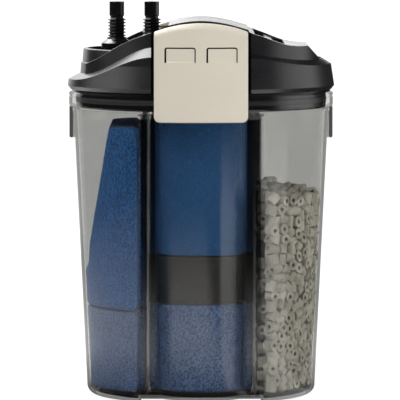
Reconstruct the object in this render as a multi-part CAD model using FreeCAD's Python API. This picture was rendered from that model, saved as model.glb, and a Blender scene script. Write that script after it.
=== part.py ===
# Canister filter: a round see-through media tub under a black pump head, held by two clips.
# Millimetres. Z is up, the origin is under the middle of the tub, and the front faces -Y.
import FreeCAD, Part
import math
import os

V = FreeCAD.Vector

# Tub
tub_base_radius = 96.5
tub_shoulder_radius = 108.2
tub_wall = 2.6
tub_floor = 3.0
tub_base_rounding = 7.5
foot_recess = 0.8
foot_ring_width = 14.0
foot_recess_margin = 8.0
rim_bottom_z = 243.0
rim_height = 13.8
rim_bore_step = 0.9
rim_flange = 5.5
rim_chamfer = 2.6
rim_groove_rise = 9.9
rim_groove_height = 1.0
rim_groove_depth = 0.9
recess_half_width = 50.0
recess_floor_y = 52.0
recess_top_drop = 6.0
column_half_width = 38.5
column_centre_y = 31.0
column_base_radius = 45.0
column_top_radius = 52.0
groove_edge_rounding = 2.0
lug_setback = 0.4
lug_half_width = 8.0
lug_height = 25.3
lug_rounding = 1.5
lug_wall = 2.4

rim_top_z = rim_bottom_z + rim_height
rim_bore_radius = tub_shoulder_radius - tub_wall + rim_bore_step
rim_radius = rim_bore_radius + rim_flange
rim_groove_z = rim_bottom_z + rim_groove_rise
recess_top_z = rim_bottom_z - recess_top_drop
lug_reach = rim_radius - lug_setback

# Media
media_gap = 0.3
grid_thickness = 3.4
grid_slot_width = 4.0
grid_slot_pitch = 9.0
grid_rim = 12.0
grid_margin = 3.0
partition_x = 45.0
partition_thickness = 2.0
partition_headroom = 1.0
partition_notch_height = 18.0
partition_notch_width = 60.0
foam_gap = 0.6
side_foam_headroom = 5.5
side_foam_seam_z = 76.0
side_foam_top_x = 77.0
side_foam_slant_z = 128.0
side_foam_slant_x = 94.5
cartridge_top_z = 121.3
cartridge_bottom_z = 82.0
cartridge_lip = 3.0
cartridge_waist = 1.2
ring_bed_high_z = 183.0
ring_bed_low_z = 176.0
ring_radius = 4.5
ring_bore_radius = 2.2
ring_length = 8.6
ring_pitch = 26.0
ring_standout = 4.0

partition_top_z = recess_top_z - partition_headroom
side_foam_top_z = partition_top_z - side_foam_headroom

# Pump plate
plate_gap = 0.3
plate_edge_height = 1.8
plate_height = 4.4
plate_edge_setback = 2.4
plate_step = 3.2
plate_clearance = 0.3
plate_seam = 0.1
spigot_clearance = 0.6
spigot_depth = 13.5
spigot_wall = 3.4
gasket_groove_rise = 5.0
gasket_groove_height = 4.2
gasket_groove_depth = 2.2
gasket_bulge = 0.3
screw_circle_inset = 12.5
screw_angle = 45.0
screw_radius = 1.9
screw_hole_clearance = 0.25
screw_head_radius = 3.6
screw_head_height = 2.2
screw_slot_width = 1.0
screw_slot_reach = 2.2
screw_length = 13.0
boss_radius = 4.6

plate_bottom_z = rim_top_z + plate_gap
plate_edge_z = plate_bottom_z + plate_edge_height
plate_top_z = plate_bottom_z + plate_height
plate_edge_radius = rim_radius - plate_edge_setback
plate_inner_radius = plate_edge_radius - plate_step
spigot_radius = rim_bore_radius - spigot_clearance
spigot_bottom_z = plate_bottom_z - spigot_depth
gasket_groove_z = spigot_bottom_z + gasket_groove_rise
gasket_radius = spigot_radius + gasket_bulge
screw_circle_radius = spigot_radius - spigot_wall - screw_circle_inset

# Cover of the pump head, with heights over its lower edge
cover_wall = 2.8
skirt_setback = 1.4
skirt_flare = 2.5
skirt_widest_rise = 3.3
skirt_draft = 2.8
skirt_draft_rise = 22.0
ledge_width = 6.3
left_ledge_low_rise = 9.8
left_ledge_high_rise = 29.6
left_ledge_lift_low = 3.2
left_ledge_lift_high = 6.9
left_ledge_start_inset = 2.3
left_ledge_end_x = -41.0
right_ledge_high_rise = 29.6
right_ledge_low_rise = 21.6
right_ledge_lift_high = 2.9
right_ledge_lift_low = 3.8
right_ledge_start_x = 30.0
right_ledge_end_inset = 10.3
saddle_overlap = 0.65
saddle_draft = 3.05
crest_rise = 57.8
crest_left_inset = 7.65
crest_left_rise = 22.2
left_shoulder_x = -83.0
left_shoulder_rise = 29.4
left_flank_x = -67.0
left_flank_rise = 39.2
arch_left_x = -39.0
arch_right_x = 41.0
right_shoulder_x = 58.0
right_shoulder_rise = 43.9
right_flank_x = 71.5
right_flank_rise = 39.3
plateau_rise = 38.0
plateau_length = 10.5
end_slope_length = 9.8
end_slope_inset = 5.35
end_slope_rise = 27.0
drum_foot_rise = 3.0
drum_foot_inset = 1.45
drum_step_inset = 1.5
drum_step_rise = 22.5
drum_step_width = 1.1
drum_step_height = 0.6
drum_rim_inset = 2.0
drum_rim_rise = 34.6
drum_rim_bevel = 0.6
drum_end_x = -20.0
well_wall = 3.4
well_floor_rise = 24.0
well_right_x = -27.0
hump_rise = 1.6
cover_roof = 6.0
hollow_inset = 6.6
hollow_floor_rise = 27.0
hollow_wall = 2.6
first_hollow_x = 44.5
first_hollow_width = 9.5
second_hollow_x = 60.5
second_hollow_width = 9.5
hollow_rib_drop = 2.0

cover_bottom_z = plate_edge_z + plate_seam
skirt_foot_radius = rim_radius - skirt_setback
skirt_widest_radius = skirt_foot_radius + skirt_flare
skirt_widest_z = cover_bottom_z + skirt_widest_rise
skirt_top_radius = skirt_widest_radius - skirt_draft
skirt_draft_z = cover_bottom_z + skirt_draft_rise
ledge_outer_radius = skirt_top_radius
ledge_inner_radius = ledge_outer_radius - ledge_width
left_ledge_start_x = left_ledge_start_inset - ledge_outer_radius
right_ledge_end_x = ledge_outer_radius - right_ledge_end_inset
saddle_foot_radius = ledge_inner_radius + saddle_overlap
saddle_top_radius = saddle_foot_radius - saddle_draft
crest_z = cover_bottom_z + crest_rise
saddle_top_z = crest_z + saddle_overlap
crest_left_x = crest_left_inset - saddle_foot_radius
plateau_z = cover_bottom_z + plateau_rise
end_slope_x = saddle_foot_radius - end_slope_inset
end_slope_z = cover_bottom_z + end_slope_rise
plateau_end_x = end_slope_x - end_slope_length
plateau_start_x = plateau_end_x - plateau_length
drum_foot_z = cover_bottom_z + drum_foot_rise
drum_foot_radius = saddle_foot_radius - drum_foot_inset
drum_step_radius = drum_foot_radius - drum_step_inset
drum_step_z = cover_bottom_z + drum_step_rise
drum_rim_radius = drum_step_radius - drum_rim_inset
drum_rim_z = cover_bottom_z + drum_rim_rise
well_radius = drum_rim_radius - well_wall
well_floor_z = cover_bottom_z + well_floor_rise
hollow_radius = saddle_top_radius - hollow_inset
hollow_floor_z = cover_bottom_z + hollow_floor_rise

# Clips, with depths under the crest
clip_gap = 3.0
clip_half_width = 38.75
clip_wall = 3.0
clip_side_wall = 2.3
clip_tail = 7.5
clip_arch_radius = 109.0
clip_corner_rounding = 5.0
clip_top_rounding = 5.0
clip_edge_rounding = 1.5
clip_plate_thickness = 3.6
pivot_setback = 27.0
pivot_depth = 8.8
pin_radius = 1.5
pin_clearance = 0.05
pin_half_length = 21.0
knuckle_radius = 3.9
clip_knuckle_inner_x = 11.4
cover_ear_half_width = 11.0
cover_ear_radius = 3.6
pivot_pocket_radius = 9.6
channel_clearance = 0.85
channel_setback = 19.0
hook_tip_setback = 0.5
hook_clearance = 0.55
hook_bottom_gap = 0.7
hook_lead_in = 1.2
pocket_inner_x = 4.4
pocket_outer_x = 30.0
pocket_depth_top = 19.3
pocket_height = 12.7
pocket_recess = 0.9
pocket_slit_depth = 3.4
pocket_slit_left = 1.4
pocket_slit_right = 0.8
pocket_slit_top = 1.1
pocket_corner = 2.0
pocket_backing = 1.8

clip_outer_radius = rim_radius + clip_gap + clip_wall
clip_bottom_z = rim_bottom_z - clip_tail
pivot_y = clip_outer_radius - pivot_setback
pivot_z = crest_z - pivot_depth
channel_half_width = clip_half_width + channel_clearance
channel_floor_y = clip_outer_radius - channel_setback
hook_tip_radius = rim_radius - rim_chamfer + hook_tip_setback
pocket_top_z = crest_z - pocket_depth_top
pocket_bottom_z = pocket_top_z - pocket_height

# Pump and motor, with heights over the pump plate
motor_x = 8.0
pump_chamber_radius = 26.4
pump_chamber_wall = 2.4
impeller_cover_lift = 0.3
impeller_cover_thickness = 2.4
pump_inlet_radius = 10.5
bushing_hub_radius = 5.2
bushing_hub_rise = 1.4
bushing_radius = 3.6
bushing_height = 3.0
bushing_seat = 0.4
bushing_clearance = 0.02
shaft_radius = 1.5
shaft_end_gap = 0.1
bearing_clearance = 0.06
rotor_pot_radius = 13.0
rotor_pot_wall = 1.6
rotor_pot_height = 37.5
rotor_gap = 2.0
rotor_drop = 0.5
rotor_height = 28.0
sleeve_radius = 4.0
impeller_gap = 4.4
impeller_float = 1.9
impeller_blade_height = 6.5
impeller_blade_thickness = 1.6
impeller_blades = 6
impeller_disc_thickness = 1.4
core_bore_clearance = 0.5
core_slot_half_width = 1.5
core_half_width = 24.0
core_leg_inner_x = 11.5
core_leg_outer_x = 22.5
core_front_y = 16.5
core_back_y = 48.0
core_rise = 8.5
core_height = 20.0
bobbin_start_y = 18.0
bobbin_end_y = 37.0
bobbin_wall = 1.2
bobbin_flange = 3.6
bobbin_clearance = 0.1
winding_depth = 2.2
winding_rounding = 2.0
motor_cover_gap = 1.2
motor_cover_wall = 1.8
motor_cover_rounding = 4.0
motor_cover_headroom = 0.6

impeller_cover_bottom_z = spigot_bottom_z + impeller_cover_lift
rotor_pot_top_z = plate_top_z + rotor_pot_height
rotor_radius = rotor_pot_radius - rotor_gap
rotor_bottom_z = plate_top_z - rotor_drop
impeller_radius = pump_chamber_radius - impeller_gap
core_bottom_z = plate_top_z + core_rise
motor_cover_top_z = rotor_pot_top_z + motor_cover_headroom + motor_cover_wall

# Hose connectors, with heights over the pump plate
inlet_x = -71.4
outlet_x = -41.8
nozzle_radius = 6.25
nozzle_top_rise = 71.3
nozzle_length = 11.8
nozzle_bore_radius = 4.6
neck_radius = 5.5
neck_rise = 57.1
thread_radius = 7.85
thread_root_radius = 6.1
thread_pitch = 2.7
thread_turns = 6
cone_top_rise = 40.3
cone_top_radius = 8.2
cone_radius = 13.2
cone_base_rise = 36.1
stem_hole_clearance = 0.6
retainer_flange = 1.0
retainer_height = 3.0
retainer_gap = 0.2
socket_radius = 11.5
socket_wall = 2.6
socket_height = 12.1
swivel_clearance = 0.08
seal_groove_rise = 3.5
seal_height = 2.6
seal_depth = 1.5
seal_clearance = 0.05
connector_lift = 0.7
stem_bore_radius = 8.0
duct_half_width = 8.0
duct_wall = 2.0
duct_depth = 10.1

nozzle_top_z = plate_top_z + nozzle_top_rise
neck_bottom_z = plate_top_z + neck_rise
cone_top_z = plate_top_z + cone_top_rise
cone_base_z = plate_top_z + cone_base_rise
stem_hole_radius = cone_radius + stem_hole_clearance
retainer_radius = cone_radius + retainer_flange
socket_top_z = plate_top_z + socket_height
seal_groove_z = plate_top_z + seal_groove_rise
connector_bottom_z = plate_top_z + connector_lift
duct_floor_z = plate_bottom_z - duct_depth

# Cable gland
gland_angle = 52.0
gland_rise = 10.0
gland_radius = 6.0
gland_collar_radius = 7.6
gland_collar_length = 3.0
gland_length = 15.0
gland_hole_radius = 3.3
gland_inset = 4.0
gland_clearance = 0.2

gland_z = cover_bottom_z + gland_rise

# Beyond the part, for cuts that pass right through it
FAR = 2 * clip_outer_radius
HIGH = 2 * nozzle_top_z
NEAR = 1.0


def block(x_low, x_high, y_low, y_high, z_low, z_high):
    return Part.makeBox(x_high - x_low, y_high - y_low, z_high - z_low, V(x_low, y_low, z_low))


def disc(radius, z_low, z_high, x=0.0, y=0.0):
    return Part.makeCylinder(radius, z_high - z_low, V(x, y, z_low))


def tube(outer, inner, z_low, z_high, x=0.0, y=0.0):
    return disc(outer, z_low, z_high, x, y).cut(disc(inner, z_low - 1, z_high + 1, x, y))


def frustum(radius_low, radius_high, z_low, z_high):
    return Part.makeCone(radius_low, radius_high, z_high - z_low, V(0, 0, z_low))


def turned(profile, x=0.0, y=0.0):
    """Solid of revolution about a vertical axis from (radius, height) points."""
    points = [V(x + radius, y, z) for radius, z in profile]
    face = Part.Face(Part.makePolygon(points + points[:1]))
    return face.revolve(V(x, y, 0), V(0, 0, 1), 360)


def through(profile, y_low, y_high):
    """Prism along Y from (x, z) points."""
    points = [V(x, y_low, z) for x, z in profile]
    face = Part.Face(Part.makePolygon(points + points[:1]))
    return face.extrude(V(0, y_high - y_low, 0))


def rod_along_x(radius, x_low, x_high, y, z):
    return Part.makeCylinder(radius, x_high - x_low, V(x_low, y, z), V(1, 0, 0))


def mirrored(shape):
    return shape.mirror(V(0, 0, 0), V(0, 1, 0))


def both_sides(shape):
    return shape.fuse(mirrored(shape))


def rounded(shape, radius, wanted):
    """Fillets the edges for which wanted(edge) holds."""
    edges = [edge for edge in shape.Edges if wanted(edge)]
    return shape.makeFillet(radius, edges)


def one_solid(shape):
    shape = shape.removeSplitter()
    if len(shape.Solids) == 1:
        return shape.Solids[0]
    return shape


def smooth_step(value):
    value = min(1.0, max(0.0, value))
    return value * value * (3 - 2 * value)


def tub_radius(z):
    share = z / rim_bottom_z
    return tub_base_radius + (tub_shoulder_radius - tub_base_radius) * share


def column_radius(z):
    share = z / rim_bottom_z
    return column_base_radius + (column_top_radius - column_base_radius) * share


def tub_form(inset, z_low, z_high, rounding):
    """The tub's round body with its two recesses and the columns that stand in them."""
    round_body = frustum(tub_radius(z_low) - inset, tub_radius(z_high) - inset, z_low, z_high)
    if rounding > 0:
        round_body = rounded(round_body, rounding, lambda edge: edge.BoundBox.ZMax < z_low + 0.01)
    half_width = recess_half_width + inset
    floor_y = recess_floor_y - inset
    top = recess_top_z + inset
    recess = block(-half_width, half_width, -FAR, -floor_y, z_low - 1, top)
    body = round_body.cut(both_sides(recess))
    column = Part.makeCone(column_radius(z_low) - inset, column_radius(top) - inset,
                           top - z_low, V(0, -column_centre_y, z_low))
    if rounding > 0:
        column = rounded(column, rounding, lambda edge: edge.BoundBox.ZMax < z_low + 0.01)
    slab_half = column_half_width - inset
    slab = block(-slab_half, slab_half, -FAR, -floor_y + 1, z_low, top)
    return body.fuse(both_sides(column.common(slab)))


def upright_groove_edge(edge):
    box = edge.BoundBox
    tall = box.ZLength > recess_top_z / 2
    x = abs(box.Center.x)
    at_column = abs(x - column_half_width) < 0.6
    at_bulge = abs(x - recess_half_width) < 0.6
    outer = abs(box.Center.y) > recess_floor_y + 1.0
    return tall and outer and (at_column or at_bulge)


def canister():
    outside = tub_form(0, 0, rim_bottom_z, tub_base_rounding)
    outside = rounded(outside, groove_edge_rounding, upright_groove_edge)
    rim = turned([
        (tub_shoulder_radius - tub_wall, rim_bottom_z - 0.5),
        (rim_radius - rim_chamfer, rim_bottom_z - 0.5),
        (rim_radius - rim_chamfer, rim_bottom_z),
        (rim_radius, rim_bottom_z + rim_chamfer),
        (rim_radius, rim_groove_z),
        (rim_radius - rim_groove_depth, rim_groove_z + 0.2),
        (rim_radius - rim_groove_depth, rim_groove_z + rim_groove_height),
        (rim_radius, rim_groove_z + rim_groove_height + 0.2),
        (rim_radius, rim_top_z - 0.8),
        (rim_radius - 0.8, rim_top_z),
        (rim_bore_radius, rim_top_z),
        (rim_bore_radius, rim_bottom_z - 0.5),
    ])
    lug_foot_z = rim_bottom_z - lug_height
    lug_start_x = tub_radius(lug_foot_z) - tub_wall
    lug = block(lug_start_x, lug_reach, -lug_half_width, lug_half_width,
                lug_foot_z, rim_bottom_z + rim_chamfer)
    lug = rounded(lug, lug_rounding, lambda edge: edge.BoundBox.XMin > lug_reach - 0.1)
    lug = lug.cut(block(lug_start_x - NEAR, lug_reach - lug_wall, lug_wall - lug_half_width,
                        lug_half_width - lug_wall, lug_foot_z - NEAR, rim_bottom_z - lug_wall))
    lugs = lug.fuse(lug.mirror(V(0, 0, 0), V(1, 0, 0)))
    inside = tub_form(tub_wall, tub_floor, rim_bottom_z, tub_base_rounding - tub_wall)
    bore = disc(rim_bore_radius, rim_bottom_z - 0.5, rim_top_z + NEAR)
    foot = disc(tub_radius(0) - tub_base_rounding - foot_ring_width, -1, foot_recess)
    foot = foot.cut(both_sides(block(-FAR, FAR, recess_floor_y - foot_recess_margin, FAR,
                                     -2 * NEAR, foot_recess + NEAR)))
    shell = outside.fuse([rim, lugs]).cut(inside.fuse(bore)).cut(foot)
    return one_solid(shell)


def chamber(x_low, x_high, z_low, z_high, gap):
    """What fits the tub between two heights and two X values, with a gap to the walls."""
    room = tub_form(tub_wall + gap, tub_floor, rim_bottom_z, tub_base_rounding - tub_wall)
    return room.common(block(x_low, x_high, -FAR, FAR, z_low, z_high))


def grid_top():
    return tub_floor + media_gap + grid_thickness


def base_grid():
    margin = grid_margin
    plate = chamber(-FAR, FAR, tub_floor + media_gap, grid_top(), margin)
    slots = []
    reach = tub_radius(0) - tub_wall - margin - grid_rim
    count = int(reach / grid_slot_pitch)
    for number in range(-count, count + 1):
        x = number * grid_slot_pitch
        half = math.sqrt(reach * reach - x * x)
        if abs(x) < recess_half_width + tub_wall + margin + grid_slot_width:
            half = min(half, recess_floor_y - tub_wall - margin - grid_slot_width)
        if abs(abs(x) - partition_x) > grid_slot_width:
            slots.append(block(x - grid_slot_width / 2, x + grid_slot_width / 2, -half, half,
                               0, grid_top() + NEAR))
    return one_solid(plate.cut(slots))


def partition(side):
    half_y = recess_floor_y - tub_wall - media_gap
    x = side * partition_x
    wall = block(x - partition_thickness / 2, x + partition_thickness / 2, -half_y, half_y,
                 grid_top(), partition_top_z)
    notch = block(x - 5, x + 5, -partition_notch_width / 2, partition_notch_width / 2,
                  grid_top() - 1, grid_top() + partition_notch_height)
    return wall.cut(notch)


def side_room():
    """Nearest X to the middle that a side chamber's filling reaches."""
    return partition_x + partition_thickness / 2 + media_gap


def centre_room():
    return partition_x - partition_thickness / 2 - media_gap


def left_upper_foam():
    block_of_foam = chamber(-FAR, -side_room(), side_foam_seam_z + media_gap, side_foam_top_z, foam_gap)
    wedge = through([
        (-side_foam_slant_x, side_foam_slant_z),
        (-side_foam_top_x, side_foam_top_z),
        (-side_foam_top_x - 2.0, side_foam_top_z + 5),
        (-FAR, side_foam_top_z + 5),
        (-FAR, side_foam_slant_z - 20),
        (-side_foam_slant_x - 1.0, side_foam_slant_z - 20),
    ], -FAR, FAR)
    return one_solid(block_of_foam.cut(wedge))


def left_lower_foam():
    return one_solid(chamber(-FAR, -side_room(), grid_top() + media_gap, side_foam_seam_z, foam_gap))


def centre_piece(z_low, z_high, gap):
    room = centre_room()
    return chamber(-room, room, z_low, z_high, gap)


def centre_upper_foam():
    return one_solid(centre_piece(cartridge_top_z + media_gap, partition_top_z, foam_gap))


def centre_lower_foam():
    return one_solid(centre_piece(grid_top() + media_gap, cartridge_bottom_z - media_gap, foam_gap))


def carbon_cartridge():
    body = centre_piece(cartridge_bottom_z, cartridge_top_z, foam_gap + cartridge_waist)
    low_lip = centre_piece(cartridge_bottom_z, cartridge_bottom_z + cartridge_lip, foam_gap)
    high_lip = centre_piece(cartridge_top_z - cartridge_lip, cartridge_top_z, foam_gap)
    return one_solid(body.fuse([low_lip, high_lip]))


def ring_bed_room(gap):
    """The side chamber up to the sloped top of its rings, with a gap to the walls and to that top."""
    bed = chamber(side_room(), FAR, grid_top() + media_gap, ring_bed_high_z, gap)
    drop = gap - foam_gap
    above = through([
        (side_room() - NEAR, ring_bed_high_z - drop),
        (tub_radius(ring_bed_low_z) + NEAR, ring_bed_low_z - drop),
        (tub_radius(ring_bed_low_z) + NEAR, ring_bed_high_z + ring_pitch),
        (side_room() - NEAR, ring_bed_high_z + ring_pitch),
    ], -FAR, FAR)
    return bed.cut(above)


def loose_ring(place, axis):
    """One ceramic ring with its end at a place, lying along an axis."""
    outer = Part.makeCylinder(ring_radius, ring_length, place, axis)
    bore = Part.makeCylinder(ring_bore_radius, ring_length * 2, place - axis * ring_length / 2, axis)
    return outer.cut(bore)


def wall_rings():
    """Rings that stand out of the bed at the tub's wall, end on and side on by turns."""
    rings = []
    half_arc = math.acos((recess_half_width + tub_wall + 2 * ring_radius) / tub_radius(0))
    columns = int(half_arc * tub_radius(0) / ring_pitch)
    rows = int((ring_bed_low_z - grid_top()) / ring_pitch)
    for column in range(-columns, columns + 1):
        for row in range(rows + 1):
            z = grid_top() + ring_radius * 2 + ring_pitch * (row + 0.5 * (column % 2))
            if z + 2 * ring_radius > ring_bed_low_z:
                continue
            reach = tub_radius(z) - tub_wall - foam_gap
            angle = column * ring_pitch / reach
            outward = V(math.cos(angle), math.sin(angle), 0)
            if (column + row) % 2:
                rings.append(loose_ring(outward * (reach - ring_length), outward))
            else:
                lying = V(-math.sin(angle), math.cos(angle), 1).normalize()
                middle = outward * (reach - ring_radius) + V(0, 0, z)
                rings.append(loose_ring(middle - lying * ring_length / 2, lying))
                continue
            rings[-1].translate(V(0, 0, z))
    return rings


def top_rings():
    """Rings that lie on top of the bed."""
    rings = []
    fall = (ring_bed_high_z - ring_bed_low_z) / (tub_radius(ring_bed_low_z) - side_room())
    half_y = recess_floor_y - ring_length
    count = int(half_y / ring_pitch)
    for row in range(2):
        x = side_room() + foam_gap + ring_length + ring_pitch * row
        z = ring_bed_high_z - fall * (x - side_room()) - ring_radius
        for number in range(-count, count + 1):
            y = number * ring_pitch
            lying = V(math.cos(number + row), math.sin(number + row), 0)
            rings.append(loose_ring(V(x, y, z) - lying * ring_length / 2, lying))
    return rings


def ceramic_rings():
    core = ring_bed_room(foam_gap + ring_standout)
    bed = core.fuse(wall_rings() + top_rings())
    return one_solid(bed.common(ring_bed_room(foam_gap)))


def ledge_heights(x):
    """Outer and inner height of the sloped ledge round the cover, from the left end to the right."""
    left = smooth_step((x - left_ledge_start_x) / (left_ledge_end_x - left_ledge_start_x))
    right = smooth_step((x - right_ledge_start_x) / (right_ledge_end_x - right_ledge_start_x))
    hidden = smooth_step((x - left_ledge_end_x) / (right_ledge_start_x - left_ledge_end_x))
    left_outer = left_ledge_low_rise + (left_ledge_high_rise - left_ledge_low_rise) * left
    left_lift = left_ledge_lift_low + (left_ledge_lift_high - left_ledge_lift_low) * left
    right_outer = right_ledge_high_rise + (right_ledge_low_rise - right_ledge_high_rise) * right
    right_lift = right_ledge_lift_high + (right_ledge_lift_low - right_ledge_lift_high) * right
    outer = cover_bottom_z + left_outer * (1 - hidden) + right_outer * hidden
    return outer, outer + left_lift * (1 - hidden) + right_lift * hidden


def ledge_curve(radius, drop):
    """Closed curve round the cover on the ledge's slope, at any radius."""
    share = (ledge_outer_radius - radius) / (ledge_outer_radius - ledge_inner_radius)
    steps = 36
    points = []
    for number in range(steps):
        angle = 2 * math.pi * (number + 0.5) / steps
        outer, inner = ledge_heights(ledge_outer_radius * math.cos(angle))
        height = outer + (inner - outer) * share - drop
        points.append(V(radius * math.cos(angle), radius * math.sin(angle), height))
    curve = Part.BSplineCurve()
    curve.interpolate(points, PeriodicFlag=True)
    return curve.toShape()


def skirt_form(inset):
    """The cover's lower tier: a ring whose top is the sloped ledge."""
    ring_inner = ledge_inner_radius - 2.0 - inset
    ring = turned([
        (ring_inner, cover_bottom_z),
        (skirt_foot_radius - inset, cover_bottom_z),
        (skirt_widest_radius - inset, skirt_widest_z),
        (skirt_top_radius - inset, skirt_draft_z),
        (skirt_top_radius - 0.8 - inset, crest_z),
        (ring_inner, crest_z),
    ])
    slope = Part.makeRuledSurface(ledge_curve(skirt_widest_radius + skirt_flare, inset),
                                  ledge_curve(ring_inner - NEAR, inset))
    return ring.cut(slope.extrude(V(0, 0, 60)))


def arch_height(x):
    """Height of the arch that the clips and the crest share, over the middle of the cover."""
    return crest_z - clip_arch_radius + math.sqrt(clip_arch_radius ** 2 - x * x)


def crest_prism(drop):
    """Prism along Y under the cover's skyline: an arch, an S-curve left of it, a plateau and slope right."""
    base = cover_bottom_z
    knots = [
        (crest_left_x, base + crest_left_rise),
        (left_shoulder_x, base + left_shoulder_rise),
        (left_flank_x, base + left_flank_rise),
        (arch_left_x, arch_height(arch_left_x)),
        (0.0, crest_z),
        (arch_right_x, arch_height(arch_right_x)),
        (right_shoulder_x, base + right_shoulder_rise),
        (right_flank_x, base + right_flank_rise),
        (plateau_start_x, plateau_z + 0.1),
        (plateau_end_x, plateau_z),
    ]
    curve = Part.BSplineCurve()
    curve.interpolate([V(x, -FAR, z - drop) for x, z in knots])
    skyline = curve.toShape()
    corner_x = end_slope_x - drop * 0.6
    rest = [
        V(plateau_end_x, -FAR, plateau_z - drop),
        V(corner_x, -FAR, end_slope_z - drop * 0.6),
        V(corner_x, -FAR, base),
        V(crest_left_x, -FAR, base),
        V(crest_left_x, -FAR, base + crest_left_rise - drop),
    ]
    edges = [skyline] + [Part.makeLine(a, b) for a, b in zip(rest, rest[1:])]
    return Part.Face(Part.Wire(edges)).extrude(V(0, 2 * FAR, 0))


def saddle_form(inset, drop):
    """The cover's upper tier under the skyline, before its hollows are cut."""
    drum = frustum(saddle_foot_radius - inset, saddle_top_radius - inset, cover_bottom_z, saddle_top_z)
    return drum.common(crest_prism(drop))


def drum_form():
    """The round wall of the connector well, with its small step."""
    drum = turned([
        (0, drum_foot_z),
        (drum_foot_radius, drum_foot_z),
        (drum_step_radius, drum_step_z),
        (drum_step_radius - drum_step_width, drum_step_z + drum_step_height),
        (drum_rim_radius, drum_rim_z - drum_rim_bevel),
        (drum_rim_radius - drum_rim_bevel, drum_rim_z),
        (0, drum_rim_z),
    ])
    return drum.common(block(-FAR, drum_end_x, -FAR, FAR, 0, HIGH))


def hump():
    """The raised crest between the clips, a little prouder than their tops."""
    reach = pivot_y - pivot_pocket_radius
    room = block(-channel_half_width, channel_half_width, -reach, reach, plateau_z, HIGH)
    return room.common(crest_prism(-hump_rise))


def clip_channel():
    """Room in the cover for the front clip, its side walls and its turning top."""
    floor = block(-channel_half_width, channel_half_width, -FAR, -channel_floor_y, cover_bottom_z - 1, HIGH)
    pocket = rod_along_x(pivot_pocket_radius, -channel_half_width, channel_half_width, -pivot_y, pivot_z)
    above = block(-channel_half_width, channel_half_width, -FAR, -pivot_y + pivot_pocket_radius,
                  pivot_z, HIGH)
    return floor.fuse([pocket, above])


def cover_ear():
    """The ear that holds the hinge pin in the middle of the channel."""
    ear = rod_along_x(cover_ear_radius, -cover_ear_half_width, cover_ear_half_width, -pivot_y, pivot_z)
    web = block(-cover_ear_half_width, cover_ear_half_width, -pivot_y - cover_ear_radius,
                -pivot_y + cover_ear_radius, pivot_z - pivot_pocket_radius - 1, pivot_z)
    hole = rod_along_x(pin_radius, -FAR, FAR, -pivot_y, pivot_z)
    return ear.fuse(web).cut(hole)


def connector_well():
    """The open well round the hose connectors, with the holes that their stems pass."""
    well = disc(well_radius, well_floor_z, HIGH)
    well = well.common(block(-FAR, well_right_x, -FAR, FAR, 0, HIGH))
    stems = [disc(stem_hole_radius, well_floor_z - 10, HIGH, x) for x in (inlet_x, outlet_x)]
    return well.fuse(stems)


def hollow(x_low, width):
    room = disc(hollow_radius, hollow_floor_z, HIGH)
    return room.common(block(x_low, x_low + width, -FAR, FAR, 0, HIGH))


def cover_room():
    """The empty room inside the cover, one wall thickness under its outside."""
    low = disc(skirt_foot_radius - cover_wall, cover_bottom_z - NEAR,
               cover_bottom_z + left_ledge_low_rise - cover_wall)
    low = low.cut(both_sides(block(-channel_half_width - cover_wall, channel_half_width + cover_wall,
                                   channel_floor_y - cover_wall, FAR, 0, HIGH)))
    high = saddle_form(cover_wall, cover_roof)
    keep = [
        block(-FAR, well_right_x + hollow_wall, -FAR, FAR, well_floor_z - cover_wall, HIGH),
        block(first_hollow_x - hollow_wall, second_hollow_x + second_hollow_width + hollow_wall,
              -FAR, FAR, hollow_floor_z - cover_wall, HIGH),
        both_sides(block(-channel_half_width - cover_wall, channel_half_width + cover_wall,
                         channel_floor_y - cover_wall, FAR, 0, HIGH)),
        both_sides(block(-channel_half_width - cover_wall, channel_half_width + cover_wall,
                         pivot_y - pivot_pocket_radius - cover_wall, FAR,
                         pivot_z - pivot_pocket_radius - cover_wall, HIGH)),
    ]
    return low.fuse(high.cut(keep))


def screw_places():
    places = []
    for quarter in range(4):
        angle = math.radians(screw_angle + 90 * quarter)
        places.append((screw_circle_radius * math.cos(angle), screw_circle_radius * math.sin(angle)))
    return places


def gland_place():
    angle = math.radians(gland_angle)
    direction = V(math.cos(angle), math.sin(angle), 0)
    start = direction * (skirt_foot_radius - cover_wall - gland_inset)
    return V(start.x, start.y, gland_z), direction


def lid_cover():
    shell = skirt_form(0).fuse([saddle_form(0, 0), drum_form(), hump()])
    shell = shell.cut(cover_room())
    seam_z = plate_top_z + plate_seam
    shell = shell.cut(disc(plate_inner_radius + plate_clearance, cover_bottom_z - NEAR, seam_z))
    bosses = [disc(boss_radius, seam_z, hollow_floor_z - NEAR, x, y) for x, y in screw_places()]
    shell = shell.fuse(bosses)
    shell = shell.cut([disc(screw_radius, plate_top_z - 1, plate_top_z + screw_length, x, y)
                       for x, y in screw_places()])
    shell = shell.cut(clip_channel()).cut(mirrored(clip_channel()))
    shell = shell.fuse([cover_ear(), mirrored(cover_ear())])
    shell = shell.cut(connector_well())
    rib = disc(hollow_radius, plateau_z, HIGH)
    rib = rib.common(block(first_hollow_x + first_hollow_width - NEAR, second_hollow_x + NEAR,
                           -FAR, FAR, 0, HIGH))
    rib = rib.cut(crest_prism(hollow_rib_drop))
    hollows = [hollow(first_hollow_x, first_hollow_width), hollow(second_hollow_x, second_hollow_width)]
    shell = shell.cut(hollows + [rib])
    start, direction = gland_place()
    behind = start - direction * gland_length
    shell = shell.cut(Part.makeCylinder(gland_radius, 3 * gland_length, behind, direction))
    return one_solid(shell)


def duct():
    """The covered way from the pump chamber to the outlet socket."""
    outer = block(outlet_x - duct_half_width - duct_wall, motor_x - pump_chamber_radius + 2,
                  -duct_half_width - duct_wall, duct_half_width + duct_wall,
                  duct_floor_z, plate_bottom_z + 0.5)
    inner = block(outlet_x - duct_half_width, motor_x - pump_chamber_radius + 4,
                  -duct_half_width, duct_half_width, duct_floor_z + duct_wall, plate_bottom_z)
    return outer, inner


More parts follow.
